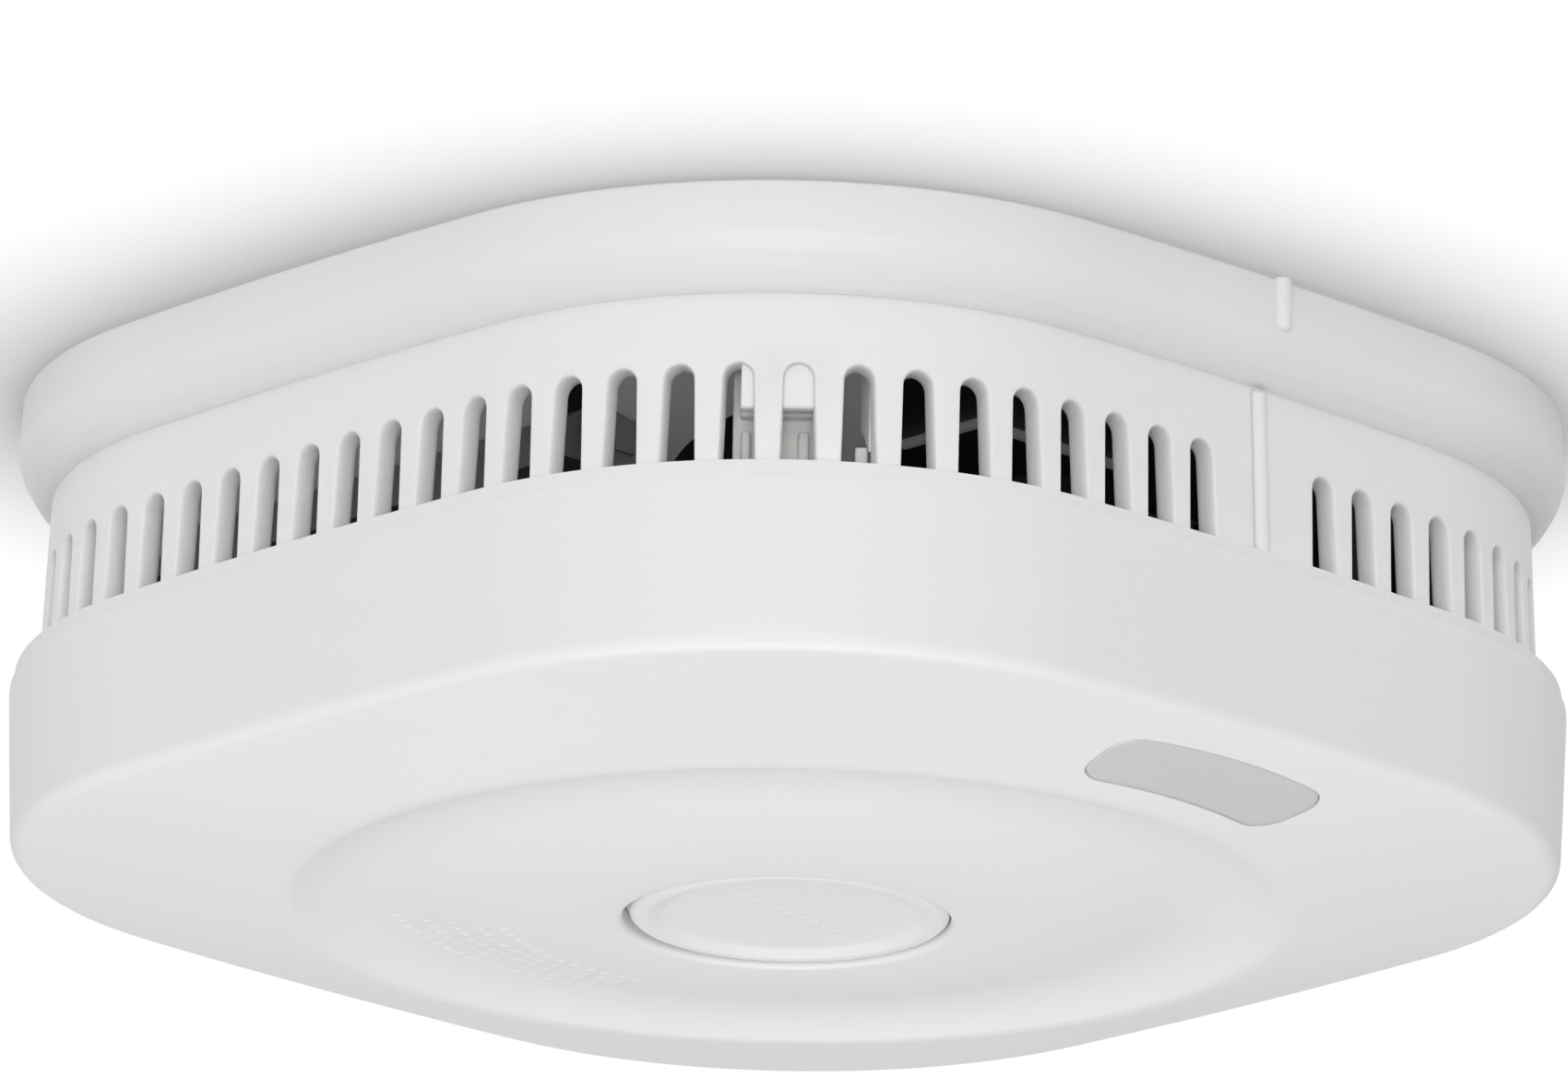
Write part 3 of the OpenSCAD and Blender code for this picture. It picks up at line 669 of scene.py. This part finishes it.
def window_loop(grow, seg=10):
    """Rounded annular sector on the +X side, in mm."""
    mid, reach = (W_IN + W_OUT) / 2, (W_OUT - W_IN) / 2
    rr = reach * 0.75
    turn = math.radians(W_HALF - math.degrees(math.asin(reach / mid)) * 0.75)
    pts = []
    for centre_r, centre_a, start in (
            (mid + reach - rr, turn, 0.0), (mid - reach + rr, turn, math.pi / 2),
            (mid - reach + rr, -turn, math.pi), (mid + reach - rr, -turn, 1.5 * math.pi)):
        cx, cy = centre_r * math.cos(centre_a), centre_r * math.sin(centre_a)
        for k in range(seg + 1):
            t = centre_a + start + math.pi / 2 * k / seg
            pts.append((cx + (rr + grow) * math.cos(t), cy + (rr + grow) * math.sin(t)))
        span = np.linspace(turn, -turn, 25)[1:-1]
        if start == math.pi / 2:
            pts += [((W_IN - grow) * math.cos(a), (W_IN - grow) * math.sin(a)) for a in span]
        if start == 1.5 * math.pi:
            pts += [((W_OUT + grow) * math.cos(a), (W_OUT + grow) * math.sin(a)) for a in span[::-1]]
    c, d = math.cos(math.radians(W_TURN)), math.sin(math.radians(W_TURN))
    return [(x * c - y * d, x * d + y * c) for x, y in pts]


def cut_window(ob):
    """Opens the cover where the window sits."""
    pts = window_loop(0.0)
    c = Build()
    c.grid([[(x, y, z) for x, y in pts] for z in (-46.0, -35.5)], True, False)
    n = len(pts)
    c.cap(0, n)
    c.cap(n, n)
    carve(ob, c.object("window_cutter", WHITE, 60))


def make_window(surface):
    """Frosted light window that follows the cover's face."""
    b = Build()
    rim = ((-0.04, 1.6), (-0.04, 0.3), (-0.06, 0.16), (-0.12, 0.07), (-0.24, 0.02), (-0.55, 0.0))
    rows = [on_face(surface, window_loop(grow), sink) for grow, sink in rim]
    # the face closes in on the window's middle line
    outer = np.array(rows[-1])
    limit = math.radians(9.5)
    ang = np.clip(np.arctan2(outer[:, 1], outer[:, 0]), -limit, limit)
    mid = 0.5 * (W_IN + W_OUT) * np.stack([np.cos(ang), np.sin(ang)], -1)
    rows += [on_face(surface, outer[:, :2] * (1 - f) + mid * f) for f in (0.3, 0.6, 0.85, 0.97)]
    b.grid(rows, True, False)
    n = len(outer)
    b.cap(b.n - n, n)
    b.cap(0, n)
    return b.object("status_window", WINDOW, 40, 1e-5)


PIP_GAP = 1.75            # mm between pips along a row


def pips(surface):
    """Fine raised dot field in the dish, opposite the window."""
    b = Build()
    for row, r in enumerate((24.2, 26.6, 29.0, 31.4, 33.8)):
        step = PIP_GAP / r
        lo, hi = math.radians(166), math.radians(212)
        count = int((hi - lo) / step)
        for k in range(count + 1):
            a = lo + (hi - lo) * (k + 0.5 * (row % 2)) / count
            if a > hi:
                continue
            x, y = r * math.cos(a), r * math.sin(a)
            z, n = height(surface, x, y)
            dome(b, (x, y, z), 0.55, 0.1, tuple(n), 1.0, a)
    return b.object("cover_pips", WHITE, 60)


# ---------------------------------------------------------------- test button
B_TOP = -43.2
CAP_SHIFT = DISH_OFF + np.array([0.2, 0.1])    # the cap rests against one side of its hole
CAP_BELOW = -42.5


def make_button():
    """Press button with nine small pips, its guide skirt and its stem."""
    b = Build()
    rim = fillet([(8.0, B_TOP + 0.01), (10.5, B_TOP, 1.2), (11.9, -43.78, 1.2), (12.9, -43.76, 0.8),
                  (13.44, -43.3, 0.5), (13.45, -41.9, 0.3), (15.15, -41.7, 0.2), (15.15, -40.75, 0.2),
                  (12.0, -40.75, 0.2), (12.0, -41.65, 0.2), (2.4, -41.65, 0.3), (2.4, -33.1, 0.3),
                  (0.0, -33.02)], 6)
    lathe(b, [(0.0, B_TOP), (4.0, B_TOP + 0.02)] + rim)
    for k in range(9):
        dome(b, (1.4 - 0.3 * k, -6.4 + 1.6 * k, B_TOP), 0.5, 0.05, stretch=1.5 if k % 2 == 0 else 1.0)
    ob = b.object("press_button", BUTTON_WHITE, 45)
    for v in ob.data.vertices:
        if v.co.z < CAP_BELOW * MM:
            v.co.x += CAP_SHIFT[0] * MM
            v.co.y += CAP_SHIFT[1] * MM
    return ob


def make_spring():
    """Coil spring round the button stem, ground flat at both ends."""
    b = Build()
    turns, r, wire = 7.0, 6.0, 0.33
    z0, z1 = -40.0 + wire, -28.2 - wire
    steps = 360
    a = np.linspace(0, turns * 2 * math.pi, steps)
    f = np.clip((a / (2 * math.pi) - 1) / (turns - 2), 0, 1)
    path = np.stack([r * np.cos(a), r * np.sin(a), z0 + 2 * wire * np.clip(a / 2 / math.pi, 0, 1)
                     + (z1 - z0 - 4 * wire) * f
                     + 2 * wire * np.clip(a / 2 / math.pi - turns + 1, 0, 1)], -1)
    c = np.linspace(0, 2 * math.pi, 11)[:-1]
    up = np.array([0, 0, 1.0])
    rows = []
    for p, t in zip(path, a):
        out = np.array([math.cos(t), math.sin(t), 0])
        rows.append(p + wire * (np.cos(c)[:, None] * out + np.sin(c)[:, None] * up))
    b.grid(rows, True, False)
    b.cap(0, len(c))
    b.cap(b.n - len(c), len(c))
    return b.object("return_spring", STEEL, 60)


# ---------------------------------------------------------------- inner pieces
def rounded_box(b, lo, hi, r=0.15, turn=0.0, seg=3):
    """A box with rolled edges, turned about the vertical axis."""
    bm = bmesh.new()
    bmesh.ops.create_cube(bm, size=1.0)
    lo, hi = Vector(lo), Vector(hi)
    for v in bm.verts:
        v.co = Vector([(lo[k] + hi[k]) / 2 + v.co[k] * (hi[k] - lo[k]) for k in range(3)])
    bmesh.ops.bevel(bm, geom=bm.edges[:], offset=r, segments=seg, profile=0.5, affect="EDGES")
    m = Matrix.Rotation(turn, 4, "Z")
    bm.verts.index_update()
    b.add([tuple(m @ v.co) for v in bm.verts], [tuple(v.index for v in f.verts) for f in bm.faces])
    bm.free()


def make_bracket():
    """Moulded bracket at the front corner; a box has a low corner, a high corner and an edge radius."""
    b = Build()
    for lo, hi, r in (((58.3, -3.75, -26.1), (59.0, 4.4, -12.6), 0.12),
                      ((57.95, -3.9, -13.5), (58.5, 4.4, -10.9), 0.12),
                      ((58.9, -3.05, -26.1), (59.6, -2.3, -19.6), 0.2),
                      ((58.9, 1.55, -26.1), (59.6, 2.4, -19.6), 0.2),
                      ((58.95, -3.1, -18.5), (60.1, 4.3, -12.6), 0.15),
                      ((58.3, 4.3, -26.1), (58.95, 7.3, -25.0), 0.12),
                      ((58.7, 6.13, -26.1), (59.55, 7.17, -20.85), 0.15)):
        rounded_box(b, lo, hi, r, -math.pi / 4)
    return b.object("corner_bracket_moulding", IVORY, 40, 1e-5)


def make_plate_ribs():
    """Two low ribs under the back plate that meet in a corner beside the chamber."""
    b = Build()
    rounded_box(b, (27.8, -14.6, -11.5), (37.3, -13.8, -10.82), 0.12)
    rounded_box(b, (36.5, -13.8, -11.5), (37.3, 2.4, -10.82), 0.12)
    mat = plastic("plate_rib_grey_painted_glow", (0.3, 0.3, 0.3), 0.5, 0.2)
    bsdf = mat.node_tree.nodes["Principled BSDF"]
    # painted glow: the grey ribs give off a little light of their own
    bsdf.inputs["Emission Color"].default_value = (1, 1, 1, 1)
    bsdf.inputs["Emission Strength"].default_value = 0.05
    return b.object("plate_ribs", mat, 40, 1e-5)


def make_gauze():
    """Insect gauze round the chamber."""
    b = Build()
    cx, cy, r = 16.0, 14.0, 23.45
    cell = 2.2
    n = 180
    a = np.arange(n + 1) * 2 * math.pi / n
    b.grid([arc_row(r, a, z, (cx, cy)) for z in np.linspace(-23.8, -14.6, 9)], False, False)
    ob = b.object("insect_gauze", gauze_material(), 60, 1e-9)
    uv = ob.data.uv_layers.new(name="weave")
    for loop in ob.data.loops:
        v = ob.data.vertices[loop.vertex_index].co
        ang = math.atan2(v.y - cy * MM, v.x - cx * MM)
        uv.data[loop.index].uv = (ang * r / cell, v.z / MM / cell)
    return ob


base = make_base()
grille = make_grille()
cover, face_bvh = make_cover()
window = make_window(face_bvh)
cut_window(cover)
cover = join(cover, pips(face_bvh))
button = make_button()
spring = make_spring()
bracket = make_bracket()
gauze = make_gauze()
ribs = make_plate_ribs()
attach(ribs, "head")
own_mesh(spring)

for ob, node, body, slot_name in (
        (base, "mounting_base", "base", "white_housing"),
        (grille, "grille_ring", "head", "white_housing"),
        (cover, "front_cover", "head", "white_housing"),
        (window, "light_window", "head", "frosted_window"),
        (bracket, "corner_bracket", "head", "ivory_plastic"),
        (button, "test_button", "button", "white_housing"),
        (spring, "button_spring", "head", "spring_steel"),
        (gauze, "insect_screen", "head", "screen_steel")):
    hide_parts(node)
    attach(ob, body)

for node, mat in (
        ("back_plate", inner_plate()), ("light_guide", CLEAR), ("tact_switch", BLACK),
        ("switch_plunger", IVORY), ("circuit_board", board_material()), ("indicator_led", LED),
        ("chamber_base", BLACK), ("labyrinth", BLACK), ("chamber_cap", BLACK), ("ir_emitter", RESIN),
        ("photodiode", RESIN), ("piezo_horn", IVORY), ("piezo_disc", BRASS), ("battery_cell", SLEEVE),
        ("battery_holder", BLACK), ("battery_terminals", NICKEL), ("housing_screws", SCREW),
        ("controller_chip", RESIN), ("capacitors", CAN)):
    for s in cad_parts[node].material_slots:
        s.material = mat


# ---------------------------------------------------------------- stage, light and camera
CONTACT = 0.46            # brightness of the ceiling in the deepest contact shadow
WORLD = 0.345             # strength of the room's light from below the ceiling
WORLD_ABOVE = 0.85        # and from above it, which lights only the back of the base


def ceiling_paint():
    """White with a contact shadow to the camera, clear to it from above; plain paint to other rays."""
    mat, nt, bsdf = node_material("ceiling_paint")
    new, link = nt.nodes.new, nt.links.new
    bsdf.inputs["Roughness"].default_value = 0.9
    noise = new("ShaderNodeTexNoise")
    noise.inputs["Scale"].default_value = 30.0
    tone = new("ShaderNodeMapRange")
    tone.inputs["To Min"].default_value = 0.93
    tone.inputs["To Max"].default_value = 0.95
    link(noise.outputs["Fac"], tone.inputs["Value"])
    link(tone.outputs["Result"], bsdf.inputs["Base Color"])
    shadow = new("ShaderNodeAmbientOcclusion")
    shadow.samples = 16
    shadow.inputs["Distance"].default_value = 0.026
    deep = new("ShaderNodeMapRange")
    deep.inputs["From Min"].default_value = 0.5
    deep.inputs["To Min"].default_value = CONTACT
    deep.inputs["To Max"].default_value = 1.02
    link(shadow.outputs["AO"], deep.inputs["Value"])
    lit = new("ShaderNodeEmission")
    link(deep.outputs["Result"], lit.inputs["Strength"])
    clear = new("ShaderNodeBsdfTransparent")
    geo = new("ShaderNodeNewGeometry")
    path = new("ShaderNodeLightPath")
    both = new("ShaderNodeMath")
    both.operation = "MULTIPLY"
    link(geo.outputs["Backfacing"], both.inputs[0])
    link(path.outputs["Is Camera Ray"], both.inputs[1])
    seen = new("ShaderNodeMixShader")
    link(path.outputs["Is Camera Ray"], seen.inputs["Fac"])
    link(bsdf.outputs[0], seen.inputs[1])
    link(lit.outputs[0], seen.inputs[2])
    mix = new("ShaderNodeMixShader")
    link(both.outputs[0], mix.inputs["Fac"])
    link(seen.outputs[0], mix.inputs[1])
    link(clear.outputs[0], mix.inputs[2])
    link(mix.outputs[0], nt.nodes["Material Output"].inputs["Surface"])
    return mat


def ceiling():
    """A level sheet just above the base, with a hole a little inside the outline."""
    hole_in, reach, level = 0.85, 6000.0, 0.03
    near = on_outline(RUNS, hole_in)
    far = reach * np.stack([np.cos(THETA), np.sin(THETA)], -1)
    rows = [np.concatenate([xy, np.full((len(RUNS), 1), level)], 1)
            for xy in (near, near * 0.75 + far * 0.02, far)]
    b = Build()
    b.grid(rows, True, False)
    me = bpy.data.meshes.new("ceiling")
    me.from_pydata((np.concatenate(b.v) * MM).tolist(), [], b.f)
    ob = bpy.data.objects.new("ceiling", me)
    scene.collection.objects.link(ob)
    if me.polygons[0].normal.z > 0:
        me.flip_normals()
    me.materials.append(ceiling_paint())


def room():
    """White to the camera; as light, brighter above the ceiling than below it."""
    world = bpy.data.worlds.new("studio")
    scene.world = world
    world.use_nodes = True
    nodes, link = world.node_tree.nodes, world.node_tree.links.new
    light = nodes["Background"]
    light.inputs["Color"].default_value = (1, 1, 1, 1)
    sky = nodes.new("ShaderNodeTexCoord")
    part = nodes.new("ShaderNodeSeparateXYZ")
    link(sky.outputs["Generated"], part.inputs["Vector"])
    level = nodes.new("ShaderNodeMapRange")
    level.inputs["From Min"].default_value = 0.0
    level.inputs["From Max"].default_value = 0.05
    level.inputs["To Min"].default_value = WORLD
    level.inputs["To Max"].default_value = WORLD_ABOVE
    link(part.outputs["Z"], level.inputs["Value"])
    link(level.outputs["Result"], light.inputs["Strength"])
    white = nodes.new("ShaderNodeBackground")
    white.inputs["Color"].default_value = (1, 1, 1, 1)
    white.inputs["Strength"].default_value = 1.0
    path = nodes.new("ShaderNodeLightPath")
    mix = nodes.new("ShaderNodeMixShader")
    link(path.outputs["Is Camera Ray"], mix.inputs["Fac"])
    link(light.outputs[0], mix.inputs[1])
    link(white.outputs[0], mix.inputs[2])
    link(mix.outputs[0], nodes["World Output"].inputs["Surface"])


def area(name, at, size, power):
    """A round lamp that looks at the middle of the detector."""
    data = bpy.data.lights.new(name, "AREA")
    data.shape = "DISK"
    data.size = size
    data.energy = power
    ob = bpy.data.objects.new(name, data)
    scene.collection.objects.link(ob)
    ob.location = at
    ob.rotation_euler = (Vector((0, 0, -0.02)) - Vector(at)).to_track_quat("-Z", "Y").to_euler()


CAM_AT = Vector((0.878106, -0.846891, -0.388778))
CAM_FWD = Vector((-0.687741, 0.662686, 0.296411))
CAM_UP = Vector((0.200624, -0.218905, 0.954898))
LENS, SENSOR = 346.9341, 36.0    # mm


def camera():
    """A long lens, from below and in front of one corner."""
    data = bpy.data.cameras.new("camera")
    data.sensor_width = SENSOR
    data.lens = LENS
    data.clip_end = 50.0
    cam = bpy.data.objects.new("camera", data)
    scene.collection.objects.link(cam)
    right = CAM_FWD.cross(CAM_UP).normalized()
    up = right.cross(CAM_FWD).normalized()
    cam.matrix_world = Matrix(((right.x, up.x, -CAM_FWD.x, CAM_AT.x), (right.y, up.y, -CAM_FWD.y, CAM_AT.y),
                               (right.z, up.z, -CAM_FWD.z, CAM_AT.z), (0, 0, 0, 1)))
    scene.camera = cam


ceiling()
room()
area("front", (1.133, -1.095, -0.298), 0.9, 9.05)
area("below", (0.028, 0.0, -1.62), 1.2, 14.0)
area("left", (-1.394, -0.507, -0.619), 0.9, 1.7)
area("low", (0.257, -0.706, -1.433), 0.9, 1.4)
area("side", (-0.133, -1.516, -0.514), 0.9, 0.6)
camera()
scene.view_settings.view_transform = "Standard"
